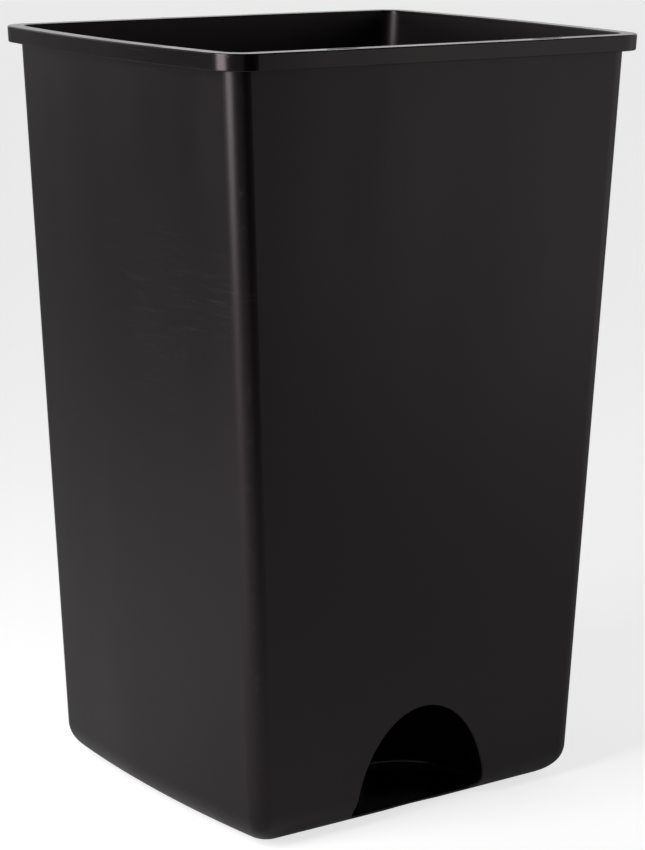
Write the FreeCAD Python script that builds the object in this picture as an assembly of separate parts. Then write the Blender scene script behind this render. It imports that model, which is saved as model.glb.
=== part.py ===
"""Tall tapered open tub with a turned-down rim and an arched foot pocket.

Frame: origin in the middle of the underside, +Z up, and the arched pocket opens towards -Y.
The tub is one moulding. It is built here as five regions that meet face to face:
base tray, wall shell, foot pocket, rim ledge and rim skirt.
"""
import FreeCAD, Part
import math
import os

V = FreeCAD.Vector

# ---------------------------------------------------------------- driving sizes, mm
HEIGHT = 600.0                 # underside to top of rim
WALL = 2.5                     # wall thickness
FLOOR = 3.0                    # floor plate thickness

# Plan of the wall's outer face: half sizes at the corners, and how far each side bows out
BASE_HALF_X = 152.7
BASE_HALF_Y = 142.7
BASE_BOW_X = 8.7
BASE_BOW_Y = 0.9
BASE_CORNER_R = 14.0
TOP_HALF_X = 184.5
TOP_HALF_Y = 152.3
TOP_BOW_X = 10.2
TOP_BOW_Y = 3.5
TOP_CORNER_R = 16.0
LEAST_CORNER_R = 12.0          # tightest plan corner where the base edge rounds under
BASE_EDGE_R = 26.0             # rounding between the walls and the underside

# Rim: a flat ledge that stands out from the wall, with a band turned down at its edge
LEDGE_OVERHANG = 10.4          # from the wall's outer face to the band's outer face
LEDGE_THICKNESS = 2.5
LEDGE_BOTTOM = HEIGHT - LEDGE_THICKNESS
SKIRT_DEPTH = 12.5             # from the top of the rim to the band's lower edge
SKIRT_THICKNESS = 2.2
RIM_OUTER_EDGE_R = 1.0         # rounding along the rim's outer top edge
SKIRT_EDGE_R = 0.8             # rounding along the band's lower edge
RIM_INNER_EDGE_R = 1.0         # rounding along the mouth

# Two slots through the ledge, on the pocket's side
SLOT_LENGTH = 28.0
SLOT_WIDTH = 5.0
SLOT_SPACING = 190.0           # between the two slots, centre to centre
SLOT_TO_WALL = 0.8             # web left between a slot and the wall's outer face

# Foot pocket: a dome on a vertical axis, cut open by the front wall
POCKET_RADIUS = 66.0
POCKET_HEIGHT = 92.0
POCKET_AXIS_Y = -125.0
POCKET_FLOOR = 5.0             # floor plate thickness inside the pocket, above the tub's own
POCKET_FLOOR_R = 10.0          # hollow rounding between the pocket's floor and its wall
POCKET_MOUTH_R = 1.2           # rounding along the arch's edge
LIP_RISE = 3.5                 # how far the plate's underside is lifted in the middle of the arch
LIP_RUN = 36.0                 # how far behind the lip the underside comes back down

ROUND_STEPS = 6                # outlines through a quarter round
SAME_HEIGHT = 1e-4             # heights this close count as one level
TOUCHING = 1e-3                # shapes this close count as touching


# ---------------------------------------------------------------- plan outlines
def blend(low, high, z):
    """Value at height z of a size that runs evenly from the base to the top."""
    return low + (high - low) * z / HEIGHT


def side_circle(half_here, half_across, bow):
    """Distance from the middle to the centre of a bowed side's circle, and its radius."""
    radius = (half_across ** 2 + bow ** 2) / (2.0 * bow)
    return half_here + bow - radius, radius


def side_circles(z, outward):
    """Circles of the X and Y sides at height z, moved outward by a distance."""
    half_x = blend(BASE_HALF_X, TOP_HALF_X, z)
    half_y = blend(BASE_HALF_Y, TOP_HALF_Y, z)
    centre_x, radius_x = side_circle(half_x, half_y, blend(BASE_BOW_X, TOP_BOW_X, z))
    centre_y, radius_y = side_circle(half_y, half_x, blend(BASE_BOW_Y, TOP_BOW_Y, z))
    return centre_x, radius_x + outward, centre_y, radius_y + outward


def corner_centre(centre_x, radius_x, centre_y, radius_y, corner_r):
    """Centre of the corner circle that touches both bowed sides from inside."""
    reach_x = radius_x - corner_r
    reach_y = radius_y - corner_r
    gap = math.hypot(centre_x, centre_y)
    along = (reach_x ** 2 - reach_y ** 2 + gap ** 2) / (2.0 * gap)
    aside = math.sqrt(reach_x ** 2 - along ** 2)
    toward = V(-centre_x / gap, centre_y / gap, 0)
    across = V(toward.y, -toward.x, 0)
    foot = V(centre_x, 0, 0) + toward * along
    return max((foot + across * aside, foot - across * aside), key=lambda point: point.x + point.y)


def outline(z, outward):
    """Closed wire of the wall's outer plan at height z, moved outward by a distance."""
    centre_x, radius_x, centre_y, radius_y = side_circles(z, outward)
    corner_r = max(blend(BASE_CORNER_R, TOP_CORNER_R, z) + outward, LEAST_CORNER_R)
    corner = corner_centre(centre_x, radius_x, centre_y, radius_y, corner_r)
    from_x = (corner - V(centre_x, 0, 0)).normalize()
    from_y = (corner - V(0, centre_y, 0)).normalize()
    on_x = V(centre_x, 0, 0) + from_x * radius_x
    on_y = V(0, centre_y, 0) + from_y * radius_y
    on_corner = corner + (from_x + from_y).normalize() * corner_r
    mid_x = V(centre_x + radius_x, 0, 0)
    mid_y = V(0, centre_y + radius_y, 0)

    def arc(*points):
        return Part.Arc(*[V(point.x, point.y, z) for point in points]).toShape()

    def flip(point, sign_x, sign_y):
        return V(sign_x * point.x, sign_y * point.y, 0)

    edges = []
    for sign_x, sign_y in ((1, 1), (-1, 1), (-1, -1), (1, -1)):
        corner_points = [flip(point, sign_x, sign_y) for point in (on_x, on_corner, on_y)]
        if sign_x == sign_y:
            edges.append(arc(*corner_points))
            edges.append(arc(corner_points[2], flip(mid_y, sign_x, sign_y), flip(on_y, -sign_x, sign_y)))
        else:
            edges.append(arc(*reversed(corner_points)))
            edges.append(arc(corner_points[0], flip(mid_x, sign_x, sign_y), flip(on_x, sign_x, -sign_y)))
    return Part.Wire(edges)


def straight(low_z, high_z, outward):
    """Solid that follows the wall's outer face, moved outward, between two heights."""
    return Part.makeLoft([outline(low_z, outward), outline(high_z, outward)], True, True)


def rounded(tangent_z, end_z, outward, turn):
    """Solid whose side leaves the offset wall face at tangent_z and turns to level at end_z.

    A positive turn rounds inwards, as on an outside edge, and a negative one flares outwards.
    """
    rise = end_z - tangent_z
    sections = []
    for step in range(ROUND_STEPS + 1):
        angle = math.pi / 2.0 * step / ROUND_STEPS
        z = tangent_z + rise * math.sin(angle)
        sections.append(outline(z, outward - turn * (1.0 - math.cos(angle))))
    return Part.makeLoft(sections, True, False)


# ---------------------------------------------------------------- pocket
def ellipse_profile(grow, low_z):
    """Half section of the pocket's dome, grown by a distance, in the XZ plane above low_z."""
    radius = POCKET_RADIUS + grow
    height = POCKET_HEIGHT + grow
    ellipse = Part.Ellipse(V(0, 0, height), V(radius, 0, 0), V(0, 0, 0))
    low_angle = math.asin(low_z / height)
    low_x = radius * math.cos(low_angle)
    middle_angle = (low_angle + math.pi / 2.0) / 2.0
    top = V(0, 0, height)
    low = V(low_x, 0, low_z)
    return ellipse, top, low, V(radius * math.cos(middle_angle), 0, height * math.sin(middle_angle))


def dome(grow, low_z):
    """Solid dome about the pocket's vertical axis, grown by a distance, above low_z."""
    ellipse, top, low, middle = ellipse_profile(grow, low_z)
    first = ellipse.parameter(top)
    last = ellipse.parameter(low)
    curve = ellipse.toShape(min(first, last), max(first, last))
    foot = V(0, 0, low_z)
    floor_line = Part.LineSegment(foot, low).toShape()
    axis_line = Part.LineSegment(foot, top).toShape()
    face = Part.Face(Part.Wire(Part.__sortEdges__([curve, floor_line, axis_line])))
    solid = face.revolve(V(0, 0, 0), V(0, 0, 1), 360)
    solid.translate(V(0, POCKET_AXIS_Y, 0))
    return solid


def edges_at(shape, z):
    """Edges that lie wholly at one height."""
    level = []
    for edge in shape.Edges:
        box = edge.BoundBox
        if abs(box.ZMin - z) < SAME_HEIGHT and abs(box.ZMax - z) < SAME_HEIGHT:
            level.append(edge)
    return level


def slab(low_z, high_z):
    """Block wider than the tub between two heights."""
    size = 4.0 * max(BASE_HALF_X, BASE_HALF_Y, TOP_HALF_X, TOP_HALF_Y)
    return Part.makeBox(size, size, high_z - low_z, V(-size / 2.0, -size / 2.0, low_z))


def pocket_hollow():
    """Space inside the pocket, with its floor rounded up into its wall."""
    hollow = dome(0.0, POCKET_FLOOR)
    return hollow.makeFillet(POCKET_FLOOR_R, edges_at(hollow, POCKET_FLOOR))


def mouth_edges(shape, hollow, skin):
    """Rising edges of the arch: those that lie both on the hollow and on the tub's outer skin."""
    arch = []
    for edge in shape.Edges:
        middle = Part.Vertex(edge.valueAt((edge.FirstParameter + edge.LastParameter) / 2.0))
        rises = edge.BoundBox.ZLength > 1.0
        low_enough = edge.BoundBox.ZMax < POCKET_HEIGHT + 1.0
        on_hollow = middle.distToShape(hollow)[0] < TOUCHING
        on_skin = middle.distToShape(skin)[0] < TOUCHING
        if rises and low_enough and on_hollow and on_skin:
            arch.append(edge)
    return arch


def lip_scoop():
    """Shallow round cutter that lifts the plate's underside clear of the floor along the arch's lip."""
    half_y = BASE_HALF_Y + BASE_BOW_Y
    lip_y = -(half_y - BASE_EDGE_R / 2.0)
    half_span = math.sqrt(POCKET_RADIUS ** 2 - (half_y + POCKET_AXIS_Y) ** 2)
    radius = (half_span ** 2 + LIP_RISE ** 2) / (2.0 * LIP_RISE)
    tilt = math.atan(LIP_RISE / LIP_RUN)
    along = V(0, math.cos(tilt), -math.sin(tilt))
    down = V(0, -math.sin(tilt), -math.cos(tilt))
    crest = V(0, lip_y, LIP_RISE)
    foot = crest - along * BASE_EDGE_R + down * radius
    return Part.makeCylinder(radius, LIP_RUN + BASE_EDGE_R, foot, along)


# ---------------------------------------------------------------- the five regions
def tub_body(tray_inner, hollow):
    """Walls and floor plate as one skin, up to the underside of the ledge, with the arch cut out."""
    outer = straight(BASE_EDGE_R, LEDGE_BOTTOM, 0.0)
    outer = outer.fuse(rounded(BASE_EDGE_R, 0.0, 0.0, BASE_EDGE_R))
    inner = straight(BASE_EDGE_R, LEDGE_BOTTOM, -WALL).fuse(tray_inner)
    body = outer.cut(inner).cut(hollow)
    body = body.makeFillet(POCKET_MOUTH_R, mouth_edges(body, hollow.Shells[0], outer.Shells[0]))
    return body.cut(lip_scoop())


def foot_pocket(tray_inner, hollow):
    """Dome that closes the arch off from the inside of the tub."""
    cavity = straight(BASE_EDGE_R, LEDGE_BOTTOM, -WALL).fuse(tray_inner)
    return dome(WALL, FLOOR / 2.0).common(cavity).cut(hollow)


def slot(middle_x):
    """Cutter for one slot, with round ends, beside the wall's outer face."""
    _, _, centre_y, radius_y = side_circles(HEIGHT, 0.0)
    wall_y = centre_y + math.sqrt(radius_y ** 2 - middle_x ** 2)
    middle_y = -(wall_y + SLOT_TO_WALL + SLOT_WIDTH / 2.0)
    reach = (SLOT_LENGTH - SLOT_WIDTH) / 2.0
    depth = 3.0 * LEDGE_THICKNESS
    low_z = HEIGHT - 2.0 * LEDGE_THICKNESS
    corner = V(middle_x - reach, middle_y - SLOT_WIDTH / 2.0, low_z)
    cutter = Part.makeBox(2.0 * reach, SLOT_WIDTH, depth, corner)
    for end in (-1, 1):
        end_centre = V(middle_x + end * reach, middle_y, low_z)
        cutter = cutter.fuse(Part.makeCylinder(SLOT_WIDTH / 2.0, depth, end_centre))
    return cutter


def rim_ledge():
    """Flat ledge round the mouth, with rounded edges and its two slots."""
    plate = straight(LEDGE_BOTTOM, HEIGHT - RIM_OUTER_EDGE_R, LEDGE_OVERHANG)
    plate = plate.fuse(rounded(HEIGHT - RIM_OUTER_EDGE_R, HEIGHT, LEDGE_OVERHANG, RIM_OUTER_EDGE_R))
    mouth = straight(LEDGE_BOTTOM, HEIGHT - RIM_INNER_EDGE_R, -WALL)
    mouth = mouth.fuse(rounded(HEIGHT - RIM_INNER_EDGE_R, HEIGHT, -WALL, -RIM_INNER_EDGE_R))
    ledge = plate.cut(mouth)
    for side in (-1, 1):
        ledge = ledge.cut(slot(side * SLOT_SPACING / 2.0))
    return ledge


def rim_skirt():
    """Band turned down from the ledge's outer edge, with its lower outside edge rounded."""
    low_z = HEIGHT - SKIRT_DEPTH
    round_z = low_z + SKIRT_EDGE_R
    outer = straight(round_z, LEDGE_BOTTOM, LEDGE_OVERHANG)
    outer = outer.fuse(rounded(round_z, low_z, LEDGE_OVERHANG, SKIRT_EDGE_R))
    return outer.cut(straight(low_z, LEDGE_BOTTOM, LEDGE_OVERHANG - SKIRT_THICKNESS))


# ---------------------------------------------------------------- build and write
pocket = pocket_hollow()
base_cavity = rounded(BASE_EDGE_R, FLOOR, -WALL, BASE_EDGE_R - FLOOR)
body = tub_body(base_cavity, pocket)
nodes = {
    "base_tray": body.common(slab(-BASE_EDGE_R, BASE_EDGE_R)),
    "wall_shell": body.common(slab(BASE_EDGE_R, HEIGHT)),
    "foot_pocket": foot_pocket(base_cavity, pocket),
    "rim_ledge": rim_ledge(),
    "rim_skirt": rim_skirt(),
}

os.makedirs("parts", exist_ok=True)
for name, shape in nodes.items():
    solids = shape.Solids
    solid = solids[0] if len(solids) == 1 else Part.Compound(solids)
    print(name, solid.isValid(), len(solids), round(solid.Volume / 1000.0, 1), "cm3")
    solid.exportStep("parts/" + name + ".step")
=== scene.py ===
# %% [markdown]
# # A black floristry tub
#
# The object is a tall rectangular tub, moulded in one shot from black polypropylene. Its sizes come
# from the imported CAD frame, so the script starts by loading that frame. Everything that follows is
# about looks: the finish of the plastic, the small marks of the mould, the light and the camera.

# %% Load the frame
import math

import bmesh
import bpy
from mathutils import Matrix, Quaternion, Vector


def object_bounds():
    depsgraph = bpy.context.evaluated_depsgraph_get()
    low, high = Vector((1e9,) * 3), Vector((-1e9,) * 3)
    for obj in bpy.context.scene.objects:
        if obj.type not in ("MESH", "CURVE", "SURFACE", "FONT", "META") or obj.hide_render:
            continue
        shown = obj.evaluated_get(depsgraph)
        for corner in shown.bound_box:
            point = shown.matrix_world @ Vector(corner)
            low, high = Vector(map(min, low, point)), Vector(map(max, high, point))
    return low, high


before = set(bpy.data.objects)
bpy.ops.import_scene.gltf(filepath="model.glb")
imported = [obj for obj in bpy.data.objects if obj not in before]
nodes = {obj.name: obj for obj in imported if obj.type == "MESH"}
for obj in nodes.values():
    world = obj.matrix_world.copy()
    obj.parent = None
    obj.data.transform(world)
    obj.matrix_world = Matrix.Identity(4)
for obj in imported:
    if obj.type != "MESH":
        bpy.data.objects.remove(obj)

cad_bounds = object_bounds()
MM = 0.001
print("nodes:", sorted(nodes))

# %% [markdown]
# The whole box of the object gives the sizes that patterns and lights are placed by. It is in metres,
# centred on the origin, and the floor is at zero, so its high corner says all three sizes.

# %% Measure the object
half_x, half_y, height = cad_bounds[1]
print("half width %.3f m, half depth %.3f m, height %.3f m" % (half_x, half_y, height))

# %% [markdown]
# ## Building node trees
#
# Every finish below is a node tree. Wiring nodes by hand takes many lines, so two helpers keep it
# short: one adds a node and sets its values, and one joins a socket or sets it.

# %% Adding and joining nodes
def add(tree, kind, settings=None, **inputs):
    """Adds a node; settings are its own properties, inputs are values or sockets by name."""
    node = tree.nodes.new("ShaderNode" + kind)
    for name, value in (settings or {}).items():
        setattr(node, name, value)
    for name, value in inputs.items():
        feed(tree, node.inputs[name.replace("_", " ")], value)
    return node


def feed(tree, socket, value):
    """Joins a socket to another socket, or sets its value."""
    if isinstance(value, bpy.types.NodeSocket):
        tree.links.new(value, socket)
    else:
        socket.default_value = value


print("node helpers:", add.__name__, feed.__name__)

# %% [markdown]
# Masks and patterns are made by arithmetic on values that change over the surface. A Math node does
# one step of it, and a Map Range node turns a range of values into a soft edge.

# %% Arithmetic in a node tree
def calc(tree, operation, *values, clamp=False):
    """Result socket of a Math node."""
    node = tree.nodes.new("ShaderNodeMath")
    node.operation = operation
    node.use_clamp = clamp
    for socket, value in zip(node.inputs, values):
        feed(tree, socket, value)
    return node.outputs[0]


def remap(tree, value, low, high, to_low=0.0, to_high=1.0):
    """Smooth step of a value between two limits."""
    node = add(tree, "MapRange", {"interpolation_type": "SMOOTHSTEP"}, Value=value)
    feed(tree, node.inputs["From Min"], low)
    feed(tree, node.inputs["From Max"], high)
    feed(tree, node.inputs["To Min"], to_low)
    feed(tree, node.inputs["To Max"], to_high)
    return node.outputs[0]


print("arithmetic helpers:", calc.__name__, remap.__name__)

# %% [markdown]
# An effect that several finishes share is a shader group: a small tree with its own named inputs and
# outputs. It is built once, and each material places it with values of its own.

# %% Starting and placing shader groups
def start_group(name, inputs, outputs):
    """New shader group with float sockets, and its input and output nodes."""
    group = bpy.data.node_groups.new(name, "ShaderNodeTree")
    for socket_name, value in inputs.items():
        socket = group.interface.new_socket(name=socket_name, in_out="INPUT",
                                            socket_type="NodeSocketFloat")
        socket.default_value = value
    for socket_name in outputs:
        group.interface.new_socket(name=socket_name, in_out="OUTPUT",
                                   socket_type="NodeSocketFloat")
    return group, group.nodes.new("NodeGroupInput"), group.nodes.new("NodeGroupOutput")


def place_group(tree, group, **inputs):
    """Puts a shader group into a material."""
    node = tree.nodes.new("ShaderNodeGroup")
    node.node_tree = group
    for name, value in inputs.items():
        feed(tree, node.inputs[name.replace("_", " ")], value)
    return node


print("group helpers:", start_group.__name__, place_group.__name__)

# %% [markdown]
# ## The skin of moulded plastic
#
# A steel mould that has been blasted leaves a fine pebbled skin on the plastic. Up close it is a
# dense field of tiny rounded bumps about half a millimetre across, so a noise texture in object
# coordinates at that scale gives its height. A coarser octave breaks up the evenness.

# %% Fine moulded grain
COARSER_BY = 0.23              # scale of the coarse octave against the fine one


def make_grain_group():
    group, into, out = start_group("moulded_grain", {"Size mm": 0.6, "Coarse share": 0.3}, ["Height"])
    place = add(group, "TexCoord").outputs["Object"]
    scale = calc(group, "DIVIDE", 1.0 / MM, into.outputs["Size mm"])
    fine = add(group, "TexNoise", Vector=place, Scale=scale, Detail=2.0, Roughness=0.55)
    coarse_scale = calc(group, "MULTIPLY", scale, COARSER_BY)
    coarse = add(group, "TexNoise", Vector=place, Scale=coarse_scale, Detail=1.0)
    share = into.outputs["Coarse share"]
    mixed = calc(group, "MULTIPLY_ADD", coarse.outputs[0], share, fine.outputs[0])
    group.links.new(mixed, out.inputs["Height"])
    return group


grain_group = make_grain_group()
print("group:", grain_group.name)

# %% [markdown]
# Plastic that flows up a tall mould cools unevenly. It leaves slow, upright clouds in the gloss and
# lets the wide walls pull in by a fraction of a millimetre. A noise that is stretched upwards gives
# both: one output drives the roughness, and the other is a height for the bump.

# %% Flow clouds and sink
SINK_WIDER_BY = 0.35           # scale of the sink against the clouds


def make_flow_group():
    sockets = {"Width mm": 60.0, "Stretch": 4.0}
    group, into, out = start_group("flow_clouds", sockets, ["Cloud", "Sink"])
    place = add(group, "TexCoord").outputs["Object"]
    parts = add(group, "SeparateXYZ", Vector=place)
    squeezed = calc(group, "DIVIDE", parts.outputs["Z"], into.outputs["Stretch"])
    flow_place = add(group, "CombineXYZ", X=parts.outputs["X"], Y=parts.outputs["Y"], Z=squeezed)
    scale = calc(group, "DIVIDE", 1.0 / MM, into.outputs["Width mm"])
    flow = flow_place.outputs[0]
    cloud = add(group, "TexNoise", Vector=flow, Scale=scale, Detail=3.0, Roughness=0.45)
    sink_scale = calc(group, "MULTIPLY", scale, SINK_WIDER_BY)
    sink = add(group, "TexNoise", Vector=place, Scale=sink_scale, Detail=1.0, Roughness=0.3)
    group.links.new(remap(group, cloud.outputs[0], 0.25, 0.75), out.inputs["Cloud"])
    group.links.new(sink.outputs[0], out.inputs["Sink"])
    return group


flow_group = make_flow_group()
print("group:", flow_group.name)

# %% [markdown]
# A tub that is stacked, dragged and carried gets hairline scratches. A scratch is a long thin streak,
# so a noise is squeezed hard across one direction and only its peaks are kept. Two directions that
# aren't square to each other look less regular than one, and a slow noise keeps the marks in patches.

# %% Hairline scratches
SCRATCH_RUNS = ((0.35, 38.0), (-0.9, 52.0))    # turn in radians, and how hard a streak is squeezed
SCRATCH_PATCHES = 9.0                          # patches of marks to a metre


def make_scratch_group():
    sockets = {"Amount": 0.5, "Length mm": 30.0}
    group, into, out = start_group("hairline_scratches", sockets, ["Mask"])
    place = add(group, "TexCoord").outputs["Object"]
    scale = calc(group, "DIVIDE", 1.0 / MM, into.outputs["Length mm"])
    streaks = []
    for turn, squeeze in SCRATCH_RUNS:
        turned = add(group, "Mapping", Vector=place, Rotation=(turn, turn * 0.7, turn * 1.3),
                     Scale=(1.0, 1.0, squeeze))
        streak = add(group, "TexNoise", Vector=turned.outputs[0], Scale=scale, Detail=0.0)
        streaks.append(remap(group, streak.outputs[0], 0.70, 0.76))
    both = calc(group, "MAXIMUM", *streaks)
    patch = add(group, "TexNoise", Vector=place, Scale=SCRATCH_PATCHES, Detail=2.0)
    kept = remap(group, patch.outputs[0], 0.50, 0.68)
    masked = calc(group, "MULTIPLY", both, kept)
    amount = calc(group, "MULTIPLY", masked, into.outputs["Amount"], clamp=True)
    group.links.new(amount, out.inputs["Mask"])
    return group


scratch_group = make_scratch_group()
print("group:", scratch_group.name)

# %% [markdown]
# The upright corners rub against door frames and other tubs. The place of a corner is known from the
# tub's plan: both |x| and |y| are near their limits there. The walls lean outwards, so both limits
# grow with height.

# %% Rubbed corners
WALL_LIMITS = {"Base half x": 0.153, "Base half y": 0.143, "Top half x": 0.184, "Top half y": 0.152}
RUB_REACH = 9.0 * MM           # how far from the corner the rubbing starts
RUB_FULL = 2.0 * MM            # and where it is at its strongest


def make_rub_group():
    group, into, out = start_group("rubbed_corners", WALL_LIMITS, ["Mask"])
    place = add(group, "TexCoord").outputs["Object"]
    parts = add(group, "SeparateXYZ", Vector=place)
    rise = calc(group, "DIVIDE", parts.outputs["Z"], height)
    shares = []
    for axis in ("x", "y"):
        base = into.outputs["Base half " + axis]
        growth = calc(group, "SUBTRACT", into.outputs["Top half " + axis], base)
        limit = calc(group, "MULTIPLY_ADD", growth, rise, base)
        reach = calc(group, "ABSOLUTE", parts.outputs[axis.upper()])
        shares.append(calc(group, "SUBTRACT", limit, reach))
    away = calc(group, "MAXIMUM", *shares)
    corner = remap(group, away, RUB_REACH, RUB_FULL)
    chips = add(group, "TexNoise", Vector=place, Scale=95.0, Detail=4.0, Roughness=0.7)
    broken = remap(group, chips.outputs[0], 0.56, 0.66)
    group.links.new(calc(group, "MULTIPLY", corner, broken), out.inputs["Mask"])
    return group


rub_group = make_rub_group()
print("group:", rub_group.name)

# %% [markdown]
# Dust settles low on the walls and on faces that look up. The height above the floor gives the
# first, and the normal's upward part gives the second. A fine noise breaks both into specks.

# %% Settled dust
SPECKS = 420.0                 # specks to a metre


def make_dust_group():
    group, into, out = start_group("settled_dust", {"Foot mm": 60.0, "Ledge": 0.5}, ["Mask"])
    geometry = add(group, "NewGeometry")
    place = add(group, "TexCoord").outputs["Object"]
    up = add(group, "SeparateXYZ", Vector=geometry.outputs["Normal"]).outputs["Z"]
    rise = add(group, "SeparateXYZ", Vector=place).outputs["Z"]
    foot = calc(group, "MULTIPLY", into.outputs["Foot mm"], MM)
    low = remap(group, rise, foot, 0.0)
    top = calc(group, "MULTIPLY", remap(group, up, 0.6, 1.0), into.outputs["Ledge"])
    specks = add(group, "TexNoise", Vector=place, Scale=SPECKS, Detail=5.0, Roughness=0.8)
    speckled = remap(group, specks.outputs[0], 0.48, 0.72)
    either = calc(group, "MAXIMUM", low, top)
    group.links.new(calc(group, "MULTIPLY", either, speckled), out.inputs["Mask"])
    return group


dust_group = make_dust_group()
print("shader groups:", [group.name for group in bpy.data.node_groups])

# %% [markdown]
# ## The plastic
#
# One recipe makes the three finishes of the tub: satin walls, a slightly smoother rim, and the
# pocket, whose deep part of the mould was polished so that it would let go of the plastic. The
# colour is a black that still reflects a little. Marks lighten it slightly and roughen it.

# %% Colours of the plastic
BLACK = (0.0024, 0.0017, 0.0019, 1.0)
MARKED = (0.022, 0.019, 0.020, 1.0)
DUSTY = (0.060, 0.056, 0.054, 1.0)
GLOSS_TINT = (1.0, 0.87, 0.90, 1.0)
POLYPROPYLENE_IOR = 1.49
print("black, marked, dusty:", BLACK[:3], MARKED[:3], DUSTY[:3])

# %% [markdown]
# The colour has three layers, each mixed over the one below by a mask. The roughness starts from the
# finish's own value, swings with the flow clouds, and rises where the plastic is marked or dusty. Two
# Bump nodes in a row give the slow sink and the fine grain. Index of refraction and tint are the same
# all over, so they are set on the shader itself.

# %% Black polypropylene
MARKS_SHOW = 0.55              # share of the marked colour in a mark
DUST_SHOWS = 0.12
CLOUD_SWING = 0.07             # swing of the roughness over the flow clouds
MARKS_ROUGHEN = 0.12
DUST_ROUGHENS = 0.2
SINK_DEPTH = 0.8 * MM


def mix_colour(tree, share, under, over):
    """Colour socket of one colour laid over another by a mask."""
    node = add(tree, "Mix", {"data_type": "RGBA"})
    feed(tree, node.inputs[0], share)
    feed(tree, node.inputs[6], under)
    feed(tree, node.inputs[7], over)
    return node.outputs[2]


def add_bump(tree, depth, **inputs):
    """Bump node at full strength whose height reaches a depth in metres."""
    node = add(tree, "Bump", **inputs)
    node.inputs["Strength"].default_value = 1.0
    node.inputs["Distance"].default_value = depth
    return node.outputs[0]


def black_plastic(name, roughness, grain_mm, grain_depth_mm, scratches, dust_ledge):
    material = bpy.data.materials.new(name)
    material.use_nodes = True
    tree = material.node_tree
    shader = tree.nodes["Principled BSDF"]
    grain = place_group(tree, grain_group, Size_mm=grain_mm)
    flow = place_group(tree, flow_group)
    scratch = place_group(tree, scratch_group, Amount=scratches)
    rub = place_group(tree, rub_group)
    dust = place_group(tree, dust_group, Ledge=dust_ledge)

    marks = calc(tree, "MAXIMUM", scratch.outputs["Mask"], rub.outputs["Mask"])
    dusty = dust.outputs["Mask"]
    marked = mix_colour(tree, calc(tree, "MULTIPLY", marks, MARKS_SHOW), BLACK, MARKED)
    dusted = mix_colour(tree, calc(tree, "MULTIPLY", dusty, DUST_SHOWS), marked, DUSTY)
    feed(tree, shader.inputs["Base Color"], dusted)

    least = roughness - CLOUD_SWING / 2.0
    clouded = calc(tree, "MULTIPLY_ADD", flow.outputs["Cloud"], CLOUD_SWING, least)
    roughened = calc(tree, "MULTIPLY_ADD", marks, MARKS_ROUGHEN, clouded)
    dulled = calc(tree, "MULTIPLY_ADD", dusty, DUST_ROUGHENS, roughened)
    feed(tree, shader.inputs["Roughness"], dulled)

    sunk = add_bump(tree, SINK_DEPTH, Height=flow.outputs["Sink"])
    grained = add_bump(tree, grain_depth_mm * MM, Height=grain.outputs["Height"], Normal=sunk)
    feed(tree, shader.inputs["Normal"], grained)
    shader.inputs["IOR"].default_value = POLYPROPYLENE_IOR
    shader.inputs["Specular Tint"].default_value = GLOSS_TINT
    print("finish:", name)
    return material


# %% [markdown]
# The walls have the coarsest and deepest grain. The rim was cut smoother, and the pocket smoother
# still, with hardly a scratch and no dust on it. The numbers are the roughness, the grain's size and
# depth in millimetres, the scratches and the dust on level faces.

# %% Three finishes
wall_finish = black_plastic("satin_black_plastic", 0.36, 0.6, 0.010, 0.5, 0.2)
rim_finish = black_plastic("rim_black_plastic", 0.24, 0.5, 0.006, 0.4, 0.3)
pocket_finish = black_plastic("polished_black_plastic", 0.16, 0.4, 0.002, 0.1, 0.0)

# %% [markdown]
# The CAD nodes already have the right shape, so they stay as they are and only take a finish. Floor
# plate and walls share one, the ledge and the band of the rim share another.

# %% Give each node its finish
finishes = {
    "base_tray": wall_finish, "wall_shell": wall_finish, "foot_pocket": pocket_finish,
    "rim_ledge": rim_finish, "rim_skirt": rim_finish,
}
for name, material in finishes.items():
    for slot in nodes[name].material_slots:
        slot.material = material
print("finished nodes:", len(finishes))

# %% [markdown]
# ## The studio
#
# A plain white floor runs out behind the tub. Camera rays see it as white paper, but it still takes
# the soft shadow that the tub throws.

# %% Floor
FLOOR_HALF = 12.0
floor_mesh = bpy.data.meshes.new("floor")
bm = bmesh.new()
bmesh.ops.create_grid(bm, x_segments=1, y_segments=1, size=FLOOR_HALF)
bm.to_mesh(floor_mesh)
bm.free()
floor = bpy.data.objects.new("floor", floor_mesh)
bpy.context.collection.objects.link(floor)
print("floor: %.0f m square" % (2.0 * FLOOR_HALF))

# %% [markdown]
# The paper's colour is a plain light grey, so that the lamps can stay low. A Light Path node adds a
# glow that the camera sees, which makes the paper white, and a faint one that the gloss of the tub
# mirrors, as it would mirror lit paper. Neither one lights the tub.

# %% White paper
PAPER_GREY = (0.55, 0.55, 0.55, 1.0)
GLOW_SEEN = 0.72
GLOW_MIRRORED = 0.10
paper = bpy.data.materials.new("white_paper")
paper.use_nodes = True
tree = paper.node_tree
paper_shader = tree.nodes["Principled BSDF"]
paper_shader.inputs["Base Color"].default_value = PAPER_GREY
paper_shader.inputs["Roughness"].default_value = 0.9
paper_shader.inputs["Emission Color"].default_value = (1.0, 1.0, 1.0, 1.0)
light_path = add(tree, "LightPath")
mirrored = calc(tree, "MULTIPLY", light_path.outputs["Is Glossy Ray"], GLOW_MIRRORED)
glow = calc(tree, "MULTIPLY_ADD", light_path.outputs["Is Camera Ray"], GLOW_SEEN, mirrored)
feed(tree, paper_shader.inputs["Emission Strength"], glow)
floor_mesh.materials.append(paper)
print("paper glow, seen and mirrored:", GLOW_SEEN, GLOW_MIRRORED)

# %% [markdown]
# The room is dark in front and has a bright wall behind, low down, which is what the left wall of the
# tub mirrors. The world has no shape of its own, so its strength is worked out from the direction:
# soft edges in the backward and in the upward part of it. Seen directly, it is white.

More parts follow.
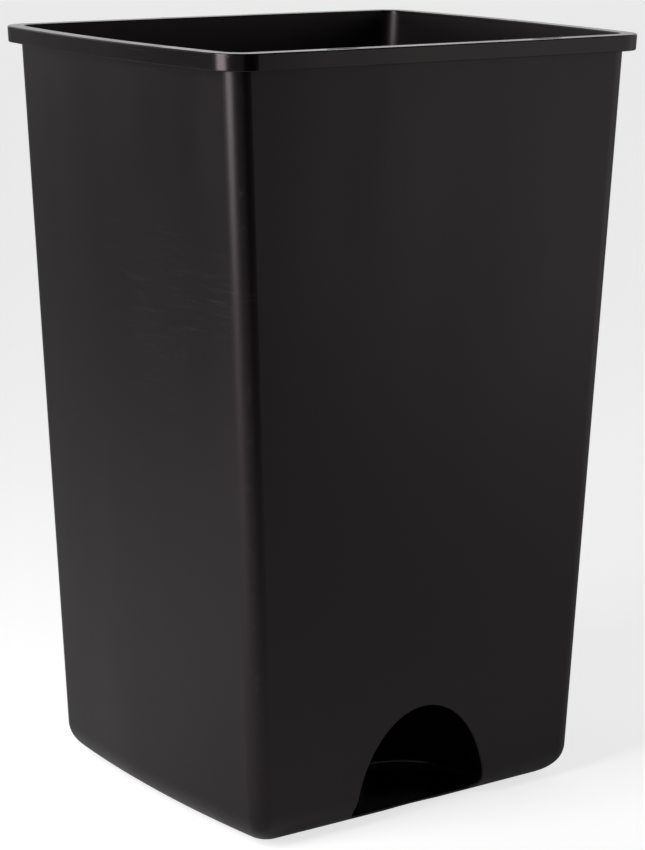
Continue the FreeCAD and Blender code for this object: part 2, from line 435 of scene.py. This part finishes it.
# %% World
WALL_SIDEWAYS = 0.45           # how far the bright wall is turned towards +X
WALL_LEVEL = 0.95
ROOM_LEVEL = 0.03
world = bpy.data.worlds.new("studio")
bpy.context.scene.world = world
world.use_nodes = True
tree = world.node_tree
background = tree.nodes["Background"]
direction = add(tree, "TexCoord").outputs["Generated"]
parts = add(tree, "SeparateXYZ", Vector=direction)
backward = calc(tree, "MULTIPLY_ADD", parts.outputs["X"], WALL_SIDEWAYS, parts.outputs["Y"])
low_sky = remap(tree, parts.outputs["Z"], 0.75, 0.30)
wall_shape = calc(tree, "MULTIPLY", remap(tree, backward, 0.1, 0.8), low_sky)
behind = calc(tree, "MULTIPLY_ADD", wall_shape, WALL_LEVEL, ROOM_LEVEL)
camera_ray = add(tree, "LightPath").outputs["Is Camera Ray"]
feed(tree, background.inputs["Color"], (1.0, 1.0, 1.0, 1.0))
feed(tree, background.inputs["Strength"], calc(tree, "MAXIMUM", camera_ray, behind))
print("world levels, wall and room:", WALL_LEVEL, ROOM_LEVEL)

# %% [markdown]
# ## Lamps
#
# Black plastic shows little but what it mirrors, so each lamp is a large soft panel placed for its
# reflection. A tall one on the left draws the bright line down the near corner, and a wide one on
# the right gives the front wall its even dark grey.

# %% Softboxes
def facing_out(turn, lift):
    """Unit vector away from the tub; turn goes from -Y towards -X and lift from level up."""
    return Vector((-math.sin(turn) * math.cos(lift), -math.cos(turn) * math.cos(lift), math.sin(lift)))


def softbox(name, azimuth, elevation, distance, width, tall, watts):
    """Area light that faces the middle of the tub; azimuth turns from -Y towards -X."""
    away = facing_out(math.radians(azimuth), math.radians(elevation))
    middle = Vector((0.0, 0.0, height / 2.0))
    lamp = bpy.data.lights.new(name, "AREA")
    lamp.shape = "RECTANGLE"
    lamp.size = width
    lamp.size_y = tall
    lamp.energy = watts
    light = bpy.data.objects.new(name, lamp)
    light.location = middle + away * distance
    light.rotation_euler = (-away).to_track_quat("-Z", "Y").to_euler()
    bpy.context.collection.objects.link(light)
    print("lamp:", name, "%.1f W" % watts)


softbox("side_softbox", 84.0, 24.0, 1.25, 0.62, 1.15, 16.0)
softbox("right_panel", -52.0, 6.0, 1.45, 1.5, 1.3, 3.0)

# %% [markdown]
# In a studio a black card stands beside the lamp to keep a dark edge next to the bright one. Here
# it is a sheet that only glossy rays meet: an edge of two vertices, extruded upwards, covered in a
# velvet that reflects nothing.

# %% Black flag
def black_flag(azimuth, distance, width, tall):
    """Upright black card that darkens what the near corner mirrors; only glossy rays see it."""
    turn = math.radians(azimuth)
    away = Vector((-math.sin(turn), -math.cos(turn), 0.0))
    across = Vector((away.y, -away.x, 0.0))
    mesh = bpy.data.meshes.new("black_flag")
    bm = bmesh.new()
    low = [bm.verts.new(away * distance + across * side * width / 2.0) for side in (-1, 1)]
    edge = bm.edges.new(low)
    lifted = bmesh.ops.extrude_edge_only(bm, edges=[edge])
    top = [item for item in lifted["geom"] if isinstance(item, bmesh.types.BMVert)]
    bmesh.ops.translate(bm, verts=top, vec=(0.0, 0.0, tall))
    bm.to_mesh(mesh)
    bm.free()
    card = bpy.data.objects.new("black_flag", mesh)
    bpy.context.collection.objects.link(card)
    velvet = bpy.data.materials.new("black_velvet")
    velvet.use_nodes = True
    cloth = velvet.node_tree.nodes["Principled BSDF"]
    cloth.inputs["Base Color"].default_value = (0.0, 0.0, 0.0, 1.0)
    cloth.inputs["Specular IOR Level"].default_value = 0.0
    mesh.materials.append(velvet)
    card.visible_camera = False
    card.visible_diffuse = False
    card.visible_shadow = False
    print("flag: %.2f x %.2f m" % (width, tall))


black_flag(8.0, 0.95, 0.62, 1.5)

# %% [markdown]
# ## Camera
#
# A long lens from about two metres, a little above the rim, keeps the tub's sides nearly straight
# and still looks into its mouth. The camera aims at a point near the tub's middle, and a small roll
# about its own axis levels the base.

# %% Camera
CAMERA_AZIMUTH = 36.09
CAMERA_ELEVATION = 12.74
CAMERA_DISTANCE = 2.127
CAMERA_ROLL = 0.56
CAMERA_LENS = 112.15
CAMERA_SENSOR = 36.0
aim = Vector((0.0035, -0.0025, 0.2846))
away = facing_out(math.radians(CAMERA_AZIMUTH), math.radians(CAMERA_ELEVATION))
lens = bpy.data.cameras.new("camera")
lens.lens = CAMERA_LENS
lens.sensor_width = CAMERA_SENSOR
camera = bpy.data.objects.new("camera", lens)
camera.location = aim + away * CAMERA_DISTANCE
facing = (-away).to_track_quat("-Z", "Y")
roll = Quaternion((0.0, 0.0, 1.0), math.radians(CAMERA_ROLL))
camera.rotation_euler = (facing @ roll).to_euler()
bpy.context.collection.objects.link(camera)
scene = bpy.context.scene
scene.camera = camera
scene.view_settings.view_transform = "Standard"
print("camera at", [round(value, 3) for value in camera.location])
